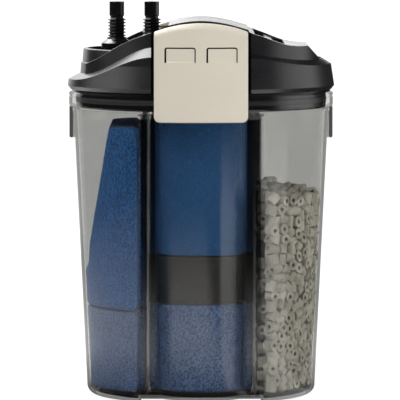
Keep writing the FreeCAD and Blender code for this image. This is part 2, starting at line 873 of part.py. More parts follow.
def lid_base():
    plate = turned([
        (0, plate_bottom_z),
        (plate_edge_radius, plate_bottom_z),
        (plate_edge_radius, plate_edge_z),
        (plate_inner_radius, plate_edge_z),
        (plate_inner_radius, plate_top_z),
        (0, plate_top_z),
    ])
    spigot = turned([
        (spigot_radius - spigot_wall, plate_bottom_z + 0.5),
        (spigot_radius - spigot_wall, spigot_bottom_z),
        (spigot_radius - 1.0, spigot_bottom_z),
        (spigot_radius, spigot_bottom_z + 1.0),
        (spigot_radius, gasket_groove_z),
        (spigot_radius - gasket_groove_depth, gasket_groove_z),
        (spigot_radius - gasket_groove_depth, gasket_groove_z + gasket_groove_height),
        (spigot_radius, gasket_groove_z + gasket_groove_height),
        (spigot_radius, plate_bottom_z + 0.5),
    ])
    chamber_bottom = impeller_cover_bottom_z + impeller_cover_thickness
    chamber_wall = tube(pump_chamber_radius + pump_chamber_wall, pump_chamber_radius,
                        chamber_bottom, plate_bottom_z + 0.5, motor_x)
    pot = disc(rotor_pot_radius + rotor_pot_wall, plate_top_z - 0.5, rotor_pot_top_z, motor_x)
    sockets = [tube(socket_radius + socket_wall, socket_radius, plate_top_z - 0.5, socket_top_z, x)
               for x in (inlet_x, outlet_x)]
    duct_outer, duct_inner = duct()
    body = plate.fuse([spigot, chamber_wall, pot, duct_outer] + sockets)
    top_seat_z = rotor_pot_top_z - rotor_pot_wall - bushing_height
    cuts = [
        disc(rotor_pot_radius, plate_bottom_z - 1, top_seat_z - 1, motor_x),
        disc(bushing_radius, top_seat_z - 2, top_seat_z + bushing_height, motor_x),
        disc(stem_bore_radius, plate_bottom_z - 1, plate_top_z + 1, inlet_x),
        disc(stem_bore_radius, plate_bottom_z - 1, plate_top_z + 1, outlet_x),
        duct_inner,
    ]
    for x, y in screw_places():
        cuts.append(disc(screw_radius + screw_hole_clearance, plate_bottom_z - 1, plate_top_z + 1, x, y))
    body = body.cut(cuts)
    return one_solid(body)


def lid_gasket():
    inner = spigot_radius - gasket_groove_depth + 0.05
    low = gasket_groove_z + 0.1
    high = gasket_groove_z + gasket_groove_height - 0.1
    bulge = (gasket_radius - spigot_radius)
    return turned([
        (inner, low),
        (spigot_radius, low),
        (spigot_radius + bulge, low + 1.2),
        (spigot_radius + bulge, high - 1.2),
        (spigot_radius, high),
        (inner, high),
    ])


def lid_screws():
    screws = []
    for x, y in screw_places():
        head = disc(screw_head_radius, plate_bottom_z - screw_head_height, plate_bottom_z, x, y)
        shank = disc(screw_radius - 0.02, plate_bottom_z - 0.5, plate_top_z + screw_length - 1, x, y)
        slot_top = plate_bottom_z - screw_head_height / 2
        half = screw_slot_width / 2
        reach = screw_slot_reach
        slot = block(x - half, x + half, y - reach, y + reach, 0, slot_top)
        cross = block(x - reach, x + reach, y - half, y + half, 0, slot_top)
        screws.append(head.fuse(shank).cut([slot, cross]))
    return Part.makeCompound(screws)


def rotor_top_z():
    return rotor_bottom_z + rotor_height


def lower_bushing_z():
    return impeller_cover_bottom_z + bushing_seat


def impeller_cover():
    low = impeller_cover_bottom_z
    high = low + impeller_cover_thickness
    plate = disc(pump_chamber_radius + pump_chamber_wall, low, high, motor_x)
    eye = disc(pump_inlet_radius, low - 1, high + 1, motor_x)
    hub = disc(bushing_hub_radius, low, high + bushing_hub_rise, motor_x)
    spokes = []
    for number in range(3):
        spoke = block(0, pump_inlet_radius + 1, -1.0, 1.0, low, high)
        spoke.rotate(V(0, 0, 0), V(0, 0, 1), 120 * number + 30)
        spoke.translate(V(motor_x, 0, 0))
        spokes.append(spoke)
    body = plate.cut(eye).fuse([hub] + spokes)
    return one_solid(body.cut(disc(bushing_radius, lower_bushing_z(), high + 2, motor_x)))


def bushing(z_low):
    return tube(bushing_radius - bushing_clearance, shaft_radius + bushing_clearance,
                z_low, z_low + bushing_height, motor_x)


def bottom_bushing():
    return bushing(lower_bushing_z())


def top_bushing():
    return bushing(rotor_pot_top_z - rotor_pot_wall - bushing_height)


def ceramic_shaft():
    return disc(shaft_radius, lower_bushing_z() + shaft_end_gap,
                rotor_pot_top_z - rotor_pot_wall - shaft_end_gap, motor_x)


def impeller():
    low = impeller_cover_bottom_z + impeller_cover_thickness + impeller_float
    blade_top = low + impeller_blade_height
    sleeve = disc(sleeve_radius, low, rotor_top_z() + 0.6, motor_x)
    plate = disc(impeller_radius, blade_top, blade_top + impeller_disc_thickness, motor_x)
    foot = disc(rotor_radius, blade_top, rotor_bottom_z, motor_x)
    blades = []
    for number in range(impeller_blades):
        blade = block(sleeve_radius - 1, impeller_radius, -impeller_blade_thickness / 2,
                      impeller_blade_thickness / 2, low, blade_top + 0.5)
        blade.rotate(V(0, 0, 0), V(0, 0, 1), 360.0 * number / impeller_blades)
        blade.translate(V(motor_x, 0, 0))
        blades.append(blade)
    body = sleeve.fuse([plate, foot] + blades)
    return one_solid(body.cut(disc(shaft_radius + bearing_clearance, 0, HIGH, motor_x)))


def rotor_magnet():
    return tube(rotor_radius, sleeve_radius + 0.05, rotor_bottom_z + 0.05, rotor_top_z(), motor_x)


def stator_core():
    top = core_bottom_z + core_height
    poles = block(motor_x - core_half_width, motor_x + core_half_width, -core_front_y, core_front_y,
                  core_bottom_z, top)
    poles = poles.cut(block(motor_x - core_slot_half_width, motor_x + core_slot_half_width,
                            -FAR, FAR, 0, HIGH))
    legs = [leg_sleeve(side, 0, 0, core_back_y) for side in (-1, 1)]
    yoke = block(motor_x - core_half_width, motor_x + core_half_width, bobbin_end_y + 0.5, core_back_y,
                 core_bottom_z, top)
    bore = disc(rotor_pot_radius + rotor_pot_wall + core_bore_clearance, 0, HIGH, motor_x)
    return one_solid(poles.fuse(legs + [yoke]).cut(bore))


def leg_sleeve(side, grow, y_low, y_high):
    """Block round one leg of the core, grown evenly on its four sides."""
    inner = core_leg_inner_x - grow
    outer = core_leg_outer_x + grow
    x_low = motor_x + (inner if side > 0 else -outer)
    x_high = motor_x + (outer if side > 0 else -inner)
    return block(x_low, x_high, y_low, y_high, core_bottom_z - grow, core_bottom_z + core_height + grow)


def coil_bobbins():
    bobbins = []
    for side in (-1, 1):
        barrel = leg_sleeve(side, bobbin_clearance + bobbin_wall, bobbin_start_y, bobbin_end_y)
        ends = [leg_sleeve(side, bobbin_flange, bobbin_start_y, bobbin_start_y + bobbin_wall),
                leg_sleeve(side, bobbin_flange, bobbin_end_y - bobbin_wall, bobbin_end_y)]
        hole = leg_sleeve(side, bobbin_clearance, 0, core_back_y)
        bobbins.append(one_solid(barrel.fuse(ends).cut(hole)))
    return Part.makeCompound(bobbins)


def coils():
    windings = []
    for side in (-1, 1):
        y_low = bobbin_start_y + bobbin_wall + bobbin_clearance
        y_high = bobbin_end_y - bobbin_wall - bobbin_clearance
        outer = leg_sleeve(side, bobbin_wall + winding_depth, y_low, y_high)
        outer = rounded(outer, winding_rounding, lambda edge: edge.BoundBox.YLength > winding_rounding)
        windings.append(outer.cut(leg_sleeve(side, 2 * bobbin_clearance + bobbin_wall, 0, core_back_y)))
    return Part.makeCompound(windings)


def motor_cover():
    grow = bobbin_flange + motor_cover_gap
    half_x = max(core_leg_outer_x + grow, core_half_width + motor_cover_gap)
    front = -core_front_y - motor_cover_gap
    back = core_back_y + motor_cover_gap
    wall = motor_cover_wall
    outer = block(motor_x - half_x - wall, motor_x + half_x + wall, front - wall, back + wall,
                  plate_top_z + 0.05, motor_cover_top_z)
    outer = rounded(outer, motor_cover_rounding, lambda edge: edge.BoundBox.ZLength > core_height)
    inner = block(motor_x - half_x, motor_x + half_x, front, back, plate_top_z - 1, motor_cover_top_z - wall)
    inner = rounded(inner, motor_cover_rounding - wall, lambda edge: edge.BoundBox.ZLength > core_height)
    return one_solid(outer.cut(inner))


def connector(x):
    bottom = connector_bottom_z
    stem_radius = socket_radius - swivel_clearance
    retainer_z = socket_top_z + retainer_gap
    profile = [
        (stem_bore_radius, bottom),
        (stem_radius - 0.8, bottom),
        (stem_radius, bottom + 0.8),
        (stem_radius, seal_groove_z),
        (stem_radius - seal_depth, seal_groove_z),
        (stem_radius - seal_depth, seal_groove_z + seal_height),
        (stem_radius, seal_groove_z + seal_height),
        (stem_radius, retainer_z),
        (retainer_radius, retainer_z),
        (retainer_radius, retainer_z + retainer_height),
        (cone_radius, retainer_z + retainer_height + 0.5),
        (cone_radius, cone_base_z),
        (cone_radius - 2.4, cone_base_z + 1.9),
        (cone_top_radius, cone_top_z - 0.6),
        (cone_top_radius, cone_top_z + 0.8),
        (thread_root_radius, cone_top_z + 1.2),
    ]
    for number in range(thread_turns):
        crest_height = cone_top_z + 2.3 + number * thread_pitch
        profile.append((thread_root_radius, crest_height - 0.9))
        profile.append((thread_radius, crest_height - 0.2))
        profile.append((thread_radius, crest_height + 0.2))
        profile.append((thread_root_radius, crest_height + 0.9))
    nozzle_bottom = nozzle_top_z - nozzle_length
    profile += [
        (thread_root_radius, neck_bottom_z),
        (neck_radius, neck_bottom_z + 0.3),
        (neck_radius, nozzle_bottom - 0.6),
        (nozzle_radius, nozzle_bottom),
        (nozzle_radius, nozzle_top_z),
        (nozzle_bore_radius, nozzle_top_z),
        (nozzle_bore_radius, cone_base_z - 4),
        (stem_bore_radius, cone_base_z - 8),
    ]
    return turned(profile, x)


def connector_seal(x):
    stem_radius = socket_radius - swivel_clearance
    inner = stem_radius - seal_depth + seal_clearance
    outer = socket_radius - seal_clearance
    low = seal_groove_z + seal_clearance
    high = seal_groove_z + seal_height - seal_clearance
    return turned([
        (inner, low),
        (outer - 0.5, low),
        (outer, low + 0.6),
        (outer, high - 0.6),
        (outer - 0.5, high),
        (inner, high),
    ], x)


def arch_prism(drop, y_low, y_high):
    """Prism along Y under the clip's arched top edge."""
    half = clip_half_width + 1
    left = V(-half, y_low, arch_height(half) - drop)
    right = V(half, y_low, arch_height(half) - drop)
    arc = Part.Arc(left, V(0, y_low, crest_z - drop), right).toShape()
    foot = clip_bottom_z - 5
    rest = Part.makePolygon([right, V(half, y_low, foot), V(-half, y_low, foot), left])
    return Part.Face(Part.Wire([arc] + rest.Edges)).extrude(V(0, y_high - y_low, 0))


def pocket_windows(trim_left, trim_right, trim_top, corner):
    """Upright blocks with round top corners, one in front of each finger pocket."""
    windows = []
    top = pocket_top_z - trim_top
    for x_low, x_high in ((-pocket_outer_x, -pocket_inner_x), (pocket_inner_x, pocket_outer_x)):
        window = block(x_low + trim_left, x_high - trim_right, -FAR, -pivot_y, pocket_bottom_z, top)
        windows.append(rounded(window, corner, lambda edge: edge.BoundBox.ZMin > top - 0.01
                               and edge.BoundBox.YLength > 10))
    return windows[0].fuse(windows[1])


def finger_pockets():
    """Shallow recesses with a bevelled lip at the foot and a deep slit round the top and sides."""
    outer = clip_outer_radius + 3
    windows = pocket_windows(0, 0, 0, pocket_corner)
    recess = turned([
        (clip_outer_radius + 0.3, pocket_bottom_z),
        (clip_outer_radius - pocket_recess, pocket_bottom_z + pocket_recess + 0.3),
        (clip_outer_radius - pocket_recess, pocket_top_z),
        (outer, pocket_top_z),
        (outer, pocket_bottom_z),
    ])
    slit = tube(outer, clip_outer_radius - pocket_slit_depth, pocket_bottom_z, pocket_top_z)
    tongues = pocket_windows(pocket_slit_left, pocket_slit_right, pocket_slit_top, pocket_corner / 2)
    return recess.common(windows).fuse(slit.common(windows).cut(tongues))


def pocket_back():
    """The thicker band of clip behind the finger pockets."""
    band = tube(clip_outer_radius - clip_wall / 2, clip_outer_radius - pocket_slit_depth - pocket_backing,
                pocket_bottom_z - pocket_backing, pocket_top_z + pocket_backing)
    half = pocket_outer_x + pocket_backing
    return band.common(block(-half, half, -FAR, 0, 0, HIGH))


def clip():
    """The front clip: curved front, arched top, two finger pockets, hook and knuckles."""
    body = disc(clip_outer_radius, clip_bottom_z, crest_z + 1)
    body = body.common(block(-clip_half_width, clip_half_width, -FAR, -pivot_y, clip_bottom_z, HIGH))
    body = body.common(arch_prism(0, -FAR, 0))
    body = rounded(body, clip_corner_rounding, lambda edge: edge.BoundBox.ZMax < clip_bottom_z + 0.1
                   and edge.BoundBox.XLength < 0.1)
    front = -clip_outer_radius
    body = rounded(body, clip_top_rounding, lambda edge: edge.BoundBox.ZMax > crest_z - 0.3
                       and edge.BoundBox.YMin < front + 0.5 and edge.BoundBox.XLength > clip_half_width)
    tall = pocket_depth_top + pocket_height
    body = rounded(body, clip_edge_rounding, lambda edge: edge.BoundBox.ZLength > tall
                   and abs(abs(edge.BoundBox.Center.x) - clip_half_width) < 0.2
                   and edge.BoundBox.YMin < -channel_floor_y)
    inner_half = clip_half_width - clip_side_wall
    room = disc(clip_outer_radius - clip_wall, clip_bottom_z - 1, crest_z)
    room = room.common(block(-inner_half, inner_half, -FAR, 0, 0, HIGH))
    room = room.common(arch_prism(clip_plate_thickness, -FAR, 0))
    rim_room = disc(rim_radius + 1.0, clip_bottom_z - 1, cover_bottom_z + 3)
    back_room = block(-FAR, FAR, -channel_floor_y - 1.0, 0, clip_bottom_z - 1, pivot_z - 3)
    body = body.cut([room, rim_room, back_room])
    hook_top = rim_bottom_z - hook_clearance
    foot_radius = rim_radius - rim_chamfer
    hook_reach = clip_outer_radius - clip_wall + 0.5
    hook = turned([
        (hook_reach, clip_bottom_z + hook_bottom_gap),
        (hook_tip_radius + hook_lead_in, clip_bottom_z + hook_bottom_gap),
        (hook_tip_radius, clip_bottom_z + hook_bottom_gap + hook_lead_in),
        (hook_tip_radius, hook_top + hook_tip_radius - foot_radius),
        (hook_reach, hook_top + hook_reach - foot_radius),
    ])
    hook = hook.common(block(-inner_half - 0.5, inner_half + 0.5, -FAR, 0, 0, HIGH))
    knuckles = []
    for side in (-1, 1):
        x_low = clip_knuckle_inner_x if side > 0 else -pin_half_length
        x_high = pin_half_length if side > 0 else -clip_knuckle_inner_x
        barrel = rod_along_x(knuckle_radius, x_low, x_high, -pivot_y, pivot_z)
        web = block(x_low, x_high, -pivot_y - knuckle_radius, -pivot_y, pivot_z, HIGH)
        knuckles.append(barrel.fuse(web.common(arch_prism(clip_plate_thickness / 2, -FAR, 0))))
    body = body.fuse([hook, pocket_back()] + knuckles)
    body = body.cut(finger_pockets())
    body = body.cut(rod_along_x(pin_radius + pin_clearance, -FAR, FAR, -pivot_y, pivot_z))
    return one_solid(body)


def hinge_pin():
    return rod_along_x(pin_radius, -pin_half_length, pin_half_length, -pivot_y, pivot_z)


def cable_gland():
    start, direction = gland_place()
    body = Part.makeCylinder(gland_radius - 0.02, gland_length, start, direction)
    outside = skirt_widest_radius - skirt_foot_radius + cover_wall + gland_inset + gland_clearance
    collar_start = start + direction * outside
    collar = Part.makeCylinder(gland_collar_radius, gland_collar_length, collar_start, direction)
    behind = start - direction * gland_length
    hole = Part.makeCylinder(gland_hole_radius, gland_length * 3, behind, direction)
    return one_solid(body.fuse(collar).cut(hole))


def pieces():
    front_clip = clip()
    front_pin = hinge_pin()
    return {
        "canister": canister(),
        "base_grid": base_grid(),
        "left_partition": partition(-1),
        "right_partition": partition(1),
        "left_upper_foam": left_upper_foam(),
        "left_lower_foam": left_lower_foam(),
        "centre_upper_foam": centre_upper_foam(),
        "centre_lower_foam": centre_lower_foam(),
        "carbon_cartridge": carbon_cartridge(),
        "ceramic_rings": ceramic_rings(),
        "lid_cover": lid_cover(),
        "lid_base": lid_base(),
        "lid_gasket": lid_gasket(),
        "lid_screws": lid_screws(),
        "impeller_cover": impeller_cover(),
        "bottom_bushing": bottom_bushing(),
        "top_bushing": top_bushing(),
        "ceramic_shaft": ceramic_shaft(),
        "impeller": impeller(),
        "rotor_magnet": rotor_magnet(),
        "stator_core": stator_core(),
        "coil_bobbins": coil_bobbins(),
        "coils": coils(),
        "motor_cover": motor_cover(),
        "inlet_connector": connector(inlet_x),
        "outlet_connector": connector(outlet_x),
        "inlet_seal": connector_seal(inlet_x),
        "outlet_seal": connector_seal(outlet_x),
        "front_clip": front_clip,
        "rear_clip": mirrored(front_clip),
        "front_hinge_pin": front_pin,
        "rear_hinge_pin": mirrored(front_pin),
        "cable_gland": cable_gland(),
    }


os.makedirs("parts", exist_ok=True)
for name, shape in pieces().items():
    shape.exportStep("parts/" + name + ".step")
    box = shape.BoundBox
    print(f"{name:20s} solids {len(shape.Solids)} valid {shape.isValid()} volume {shape.Volume:10.1f} "
          f"x {box.XMin:.1f} {box.XMax:.1f} y {box.YMin:.1f} {box.YMax:.1f} z {box.ZMin:.1f} {box.ZMax:.1f}")
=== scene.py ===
# A canister filter on a pale studio floor: a smoky see-through tub of foams and ceramic rings,
# a black pump head over it, two hose connectors and two beige clips. Lengths are in metres.
import math

import bmesh
import bpy
import numpy as np
from mathutils import Matrix, Vector, noise


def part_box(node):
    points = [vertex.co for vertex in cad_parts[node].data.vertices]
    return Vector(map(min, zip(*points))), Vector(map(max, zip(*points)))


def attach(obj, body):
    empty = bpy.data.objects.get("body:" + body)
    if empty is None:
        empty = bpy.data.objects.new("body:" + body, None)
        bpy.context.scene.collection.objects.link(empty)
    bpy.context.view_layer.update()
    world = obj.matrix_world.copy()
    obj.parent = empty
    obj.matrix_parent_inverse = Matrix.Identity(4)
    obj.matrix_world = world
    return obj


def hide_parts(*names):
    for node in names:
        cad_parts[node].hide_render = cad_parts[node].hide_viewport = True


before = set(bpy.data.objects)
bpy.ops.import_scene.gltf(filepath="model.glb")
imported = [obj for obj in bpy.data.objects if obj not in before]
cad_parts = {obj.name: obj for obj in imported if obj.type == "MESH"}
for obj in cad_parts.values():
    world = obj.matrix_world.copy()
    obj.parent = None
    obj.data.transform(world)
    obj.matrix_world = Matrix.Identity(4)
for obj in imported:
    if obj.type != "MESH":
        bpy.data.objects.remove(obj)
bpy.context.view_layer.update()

# Tub sizes that the filling has to fit, the same as the solid tub's
TUB_BASE_RADIUS = 0.0965
TUB_SHOULDER_RADIUS = 0.1082
TUB_SHOULDER_Z = 0.243
TUB_WALL = 0.0026
TUB_SLOPE = (TUB_SHOULDER_RADIUS - TUB_BASE_RADIUS) / TUB_SHOULDER_Z
RECESS_HALF_WIDTH = 0.050
RECESS_FLOOR_Y = 0.052

# Places that are painted darker as shade, or darkened by thick plastic. A name that ends in EDGE or START
# holds the two coordinates or depths between which the mask goes from its least to full; the others hold a low
# and a high limit
SLIT_X = (0.0042, 0.0303)
SLIT_Z = (0.2846, 0.2977)
SLIT_RADIUS = (0.1144, 0.1166)
CLIP_GAP_X = (0.0380, 0.0412)
CLIP_GAP_Y_START = (0.079, 0.082)
GROOVE_X = (0.0388, 0.0502)
GROOVE_Y = (0.0485, 0.0535)
GROOVE_Z_START = (0.02, 0.21)
GROOVE_LOW_SHADE = 0.08
PALE_STRIP_X = (0.0422, 0.0450)
LEFT_START = (0.001, -0.001)
LUG_X_START = (0.1088, 0.1092)
LUG_Z_EDGE = (0.2445, 0.2435)
LUG_Y_EDGE = (0.0090, 0.0085)
FOOT_Z_EDGE = (0.010, 0.003)
FOOT_SHADE = 0.9
SKIN_DEPTH_START = (0.0016, 0.0010)
DEEP_SHADE = (0.0015, 0.0015, 0.0015)

# Tub plastic: how far the wall turns from the eye where its tone deepens, partly for its longer path and
# partly as painted shade, the tint of its thick places and painted shade, and the two tints that all light but
# the camera's own rays meets
STEEP_START = (0.765, 0.785)
THICK_AND_SHADE_TINT = (0.3, 0.3, 0.3)
LOOSE_TINT = (1.2, 1.2, 1.2)
THICK_AND_SHADE_LOOSE_TINT = (0.85, 0.85, 0.85)

# Foam blocks
FOAM_VOXEL = 0.0017
FOAM_SOFTENING = 4
FOAM_ROUGHNESS = 0.0004
FOAM_COARSE_SCALE = 70.0
FOAM_FINE_SCALE = 260.0

# Ceramic rings and how they settle
RING_OUTER = 0.0046
RING_BORE = 0.0018
RING_LENGTH = 0.0090
RING_SIDES = 12
RING_CLEARANCE = 0.0008
RING_SPACING = 0.0110
RING_COUNT = 860
SETTLING_ROUNDS = 40
SETTLING_PUSH = 0.35
SETTLING_JITTER = 0.0001
HEAP_UNEVENNESS = 0.004
HEAP_FALL_X = 0.0065
HEAP_FALL_Y = 0.005
HEAP_SHOWN_DEPTH = 0.022
RECESS_EDGE_REACH = 0.006
WALL_BAND_RADII = 1.6
WALL_TILT = 0.1
END_ON_SHARE = 0.36

# Studio
CAMERA_PLACE = (-0.00085, -3.5, 0.410)
CAMERA_PITCH = 4.02
CAMERA_LENS = 371.25
CAMERA_SENSOR = 36.0
CAMERA_REACH = 100.0
FLOOR_HALF = 7.0
FLOOR_FRONT = -7.0
BACKDROP_Y = 7.0
BACKDROP_HEIGHT = 7.0
BACKDROP_BEND = 1.2
BEND_STEPS = 8
LID_LEVEL = 0.2
OBJECT_MIDDLE = (0, 0, 0.18)
WHITE = (1.0, 1.0, 1.0, 1.0)


def graph(name):
    """A new material with an empty node tree and its output."""
    material = bpy.data.materials.new(name)
    material.use_nodes = True
    tree = material.node_tree
    tree.nodes.clear()
    output = tree.nodes.new("ShaderNodeOutputMaterial")
    return material, tree, output


def put(tree, kind, inputs=None, **settings):
    """Adds a node; inputs are values or sockets by name or number."""
    node = tree.nodes.new(kind)
    for key, value in settings.items():
        setattr(node, key, value)
    for key, value in (inputs or {}).items():
        socket = node.inputs[key]
        if isinstance(value, bpy.types.NodeSocket):
            tree.links.new(value, socket)
        else:
            socket.default_value = value
    return node


def use(tree, group, inputs=None):
    """Adds a node that holds one of the shared groups."""
    return put(tree, "ShaderNodeGroup", inputs, node_tree=group)


def group_tree(name, inputs, outputs):
    """A shader node group with named value inputs, and value or vector outputs."""
    tree = bpy.data.node_groups.new(name, "ShaderNodeTree")
    kinds = {"value": "NodeSocketFloat", "vector": "NodeSocketVector"}
    for label, default in inputs:
        socket = tree.interface.new_socket(label, in_out="INPUT", socket_type=kinds["value"])
        socket.default_value = default
    for label, kind in outputs:
        tree.interface.new_socket(label, in_out="OUTPUT", socket_type=kinds[kind])
    entry = tree.nodes.new("NodeGroupInput")
    leave = tree.nodes.new("NodeGroupOutput")
    return tree, entry, leave


def calc(tree, operation, *values, clamp=False):
    """Result of one operation on values or sockets."""
    node = put(tree, "ShaderNodeMath", dict(enumerate(values)), operation=operation, use_clamp=clamp)
    return node.outputs[0]


def times(tree, *values):
    total = values[0]
    for value in values[1:]:
        total = calc(tree, "MULTIPLY", total, value)
    return total


def added(tree, *values):
    total = values[0]
    for value in values[1:]:
        total = calc(tree, "ADD", total, value)
    return total


def size_of(tree, value):
    return calc(tree, "ABSOLUTE", value)


def vector_calc(tree, operation, *vectors):
    """Node with the result of one operation on vectors."""
    return put(tree, "ShaderNodeVectorMath", dict(enumerate(vectors)), operation=operation)


def length_of(tree, vector):
    return vector_calc(tree, "LENGTH", vector).outputs["Value"]


def ranged(tree, value, start, end, low, high):
    """Value that goes from low to high while another goes from start to end."""
    return put(tree, "ShaderNodeMapRange", {
        "Value": value, "From Min": start, "From Max": end, "To Min": low, "To Max": high,
    }).outputs["Result"]


def step_up(tree, value, start, end):
    """Mask that rises from 0 to 1 between two values."""
    return ranged(tree, value, start, end, 0.0, 1.0)


def between(tree, value, low, high, soft):
    """Mask of the values between two limits, with soft ends."""
    return times(tree, step_up(tree, value, low - soft, low), step_up(tree, value, high + soft, high))


def blend_to(tree, mask, first, second):
    """Mix of two colours, each a socket or a constant, that goes from first to second with the mask."""
    blend = put(tree, "ShaderNodeMix", {"Factor": mask}, data_type="RGBA")
    for number, value in ((6, first), (7, second)):
        if isinstance(value, bpy.types.NodeSocket):
            tree.links.new(value, blend.inputs[number])
        else:
            blend.inputs[number].default_value = (*value, 1.0)
    return blend.outputs[2]


def object_place(tree):
    """The shaded point in its piece's own space, which is the shared frame while the part is at rest."""
    return put(tree, "ShaderNodeTexCoord").outputs["Object"]


def split(tree, vector):
    """The X, Y and Z of a vector."""
    parts = put(tree, "ShaderNodeSeparateXYZ", {"Vector": vector})
    return parts.outputs["X"], parts.outputs["Y"], parts.outputs["Z"]


def axis_distance(tree, x, y):
    """Distance of a point from the tub's axis."""
    return length_of(tree, put(tree, "ShaderNodeCombineXYZ", {"X": x, "Y": y}).outputs[0])


def speckle(tree, place, scale, detail, roughness=0.5):
    """Soft noise as a value."""
    return put(tree, "ShaderNodeTexNoise", {
        "Vector": place, "Scale": scale, "Detail": detail, "Roughness": roughness,
    }).outputs["Fac"]


def cells(tree, place, scale):
    """Node with the distance from each cell's middle, and a colour for each cell."""
    return put(tree, "ShaderNodeTexVoronoi", {"Vector": place, "Scale": scale}, feature="F1")


def make_edge_wear():
    """Mask of edges rubbed bright, and the normal rounded over them."""
    tree, entry, leave = group_tree(
        "edge wear",
        [("Radius", 0.0006), ("Spread", 3.0), ("Breakup", 60.0)],
        [("Mask", "value"), ("Normal", "vector")],
    )
    rounding = put(tree, "ShaderNodeBevel", {"Radius": entry.outputs["Radius"]}, samples=4)
    geometry = put(tree, "ShaderNodeNewGeometry")
    alike = vector_calc(tree, "DOT_PRODUCT", rounding.outputs["Normal"], geometry.outputs["Normal"])
    apart = calc(tree, "SUBTRACT", 1.0, alike.outputs["Value"])
    wide = calc(tree, "MULTIPLY", apart, entry.outputs["Spread"], clamp=True)
    patches = speckle(tree, object_place(tree), entry.outputs["Breakup"], 3.0)
    mask = times(tree, wide, step_up(tree, patches, 0.35, 0.65))
    tree.links.new(mask, leave.inputs["Mask"])
    tree.links.new(rounding.outputs["Normal"], leave.inputs["Normal"])
    return tree


def make_grain():
    """Fine moulded grain as a height, and slow patches of handling."""
    tree, entry, leave = group_tree(
        "moulded grain",
        [("Grain Scale", 1800.0), ("Patch Scale", 25.0)],
        [("Height", "value"), ("Patches", "value")],
    )
    place = object_place(tree)
    grain = speckle(tree, place, entry.outputs["Grain Scale"], 2.0, 0.6)
    patches = speckle(tree, place, entry.outputs["Patch Scale"], 4.0)
    tree.links.new(grain, leave.inputs["Height"])
    tree.links.new(step_up(tree, patches, 0.3, 0.7), leave.inputs["Patches"])
    return tree


def make_slit_shade():
    """Mask of the slits round the clips' finger pockets, where little light comes in and the clip's material
    paints deep shade.
    """
    tree, _, leave = group_tree("slit shade", [], [("Mask", "value")])
    x, y, z = split(tree, object_place(tree))
    across = between(tree, size_of(tree, x), *SLIT_X, 0.0001)
    level = between(tree, z, *SLIT_Z, 0.0001)
    sunk = between(tree, axis_distance(tree, x, y), *SLIT_RADIUS, 0.0003)
    tree.links.new(times(tree, across, level, sunk), leave.inputs["Mask"])
    return tree


def make_clip_gap_shade():
    """Mask of the narrow gaps beside the clips, where the cover is painted with deep shade."""
    tree, _, leave = group_tree("clip gap shade", [], [("Mask", "value")])
    x, y, _ = split(tree, object_place(tree))
    across = between(tree, size_of(tree, x), *CLIP_GAP_X, 0.0003)
    ahead = step_up(tree, size_of(tree, y), *CLIP_GAP_Y_START)
    tree.links.new(times(tree, across, ahead), leave.inputs["Mask"])
    return tree


def make_thick_and_shaded_places():
    """Mask of the tub's places painted darker: partly thick plastic behind its skin, partly painted shade that
    grows toward the top of the grooves and a painted contact shadow along the foot.
    """
    tree, _, leave = group_tree("thick and shaded places", [], [("Mask", "value")])
    x, y, height = split(tree, object_place(tree))
    across, ahead = size_of(tree, x), size_of(tree, y)
    groove = times(tree, between(tree, across, *GROOVE_X, 0.0006), between(tree, ahead, *GROOVE_Y, 0.0004),
                   ranged(tree, height, *GROOVE_Z_START, GROOVE_LOW_SHADE, 1.0))
    strip = times(tree, step_up(tree, x, *LEFT_START), between(tree, across, *PALE_STRIP_X, 0.0005))
    groove = times(tree, groove, calc(tree, "SUBTRACT", 1.0, strip))
    lug = times(tree, step_up(tree, across, *LUG_X_START), step_up(tree, height, *LUG_Z_EDGE),
                step_up(tree, ahead, *LUG_Y_EDGE))
    foot = times(tree, step_up(tree, height, *FOOT_Z_EDGE), FOOT_SHADE)
    either = calc(tree, "MAXIMUM", groove, lug)
    tree.links.new(calc(tree, "MAXIMUM", either, foot, clamp=True), leave.inputs["Mask"])
    return tree


def make_outer_skin():
    """Mask of the tub's outer face, which alone deepens in tone toward its outline, partly for its longer path
    through the plastic and partly as painted shade of the dark surroundings.
    """
    tree, _, leave = group_tree("outer skin", [], [("Mask", "value")])
    x, y, z = split(tree, object_place(tree))
    base = added(tree, axis_distance(tree, x, y), times(tree, z, -TUB_SLOPE))
    start, full = (TUB_BASE_RADIUS - depth for depth in SKIN_DEPTH_START)
    tree.links.new(step_up(tree, base, start, full), leave.inputs["Mask"])
    return tree


edge_wear = make_edge_wear()
moulded_grain = make_grain()
outer_skin = make_outer_skin()
thick_and_shaded_places = make_thick_and_shaded_places()
slit_shade = make_slit_shade()
clip_gap_shade = make_clip_gap_shade()


def moulding(name, color, worn_color, roughness, grain_depth=0.00002, wear=0.5, radius=0.0006,
             coat=0.0, metallic=0.0, gloss=0.5, shade=None):
    """Solid moulded or machined material with grain, handling patches and rubbed edges, and painted shade
    where a shade mask is given.
    """
    material, tree, output = graph(name)
    worn = use(tree, edge_wear, {"Radius": radius})
    grain = use(tree, moulded_grain)
    rub = times(tree, worn.outputs["Mask"], wear)
    handled = times(tree, grain.outputs["Patches"], 0.06)
    share = calc(tree, "ADD", rub, handled, clamp=True)
    rough = ranged(tree, grain.outputs["Patches"], 0.0, 1.0, roughness * 0.85, min(1.0, roughness * 1.2))
    bump = put(tree, "ShaderNodeBump", {
        "Height": grain.outputs["Height"],
        "Normal": worn.outputs["Normal"],
        "Distance": grain_depth,
        "Strength": 1.0,
    })
    tone = blend_to(tree, share, color, worn_color)
    level = gloss
    # Painted shade: where the mask is full the colour goes near black and the shine goes out
    if shade:
        mask = use(tree, shade).outputs["Mask"]
        tone = blend_to(tree, mask, tone, DEEP_SHADE)
        level = ranged(tree, mask, 0.0, 1.0, gloss, 0.0)
    shader = put(tree, "ShaderNodeBsdfPrincipled", {
        "Base Color": tone,
        "Roughness": rough,
        "Normal": bump.outputs["Normal"],
        "Metallic": metallic,
        "Specular IOR Level": level,
        "Coat Weight": coat,
        "Coat Roughness": 0.12,
    })
    tree.links.new(shader.outputs[0], output.inputs["Surface"])
    return material


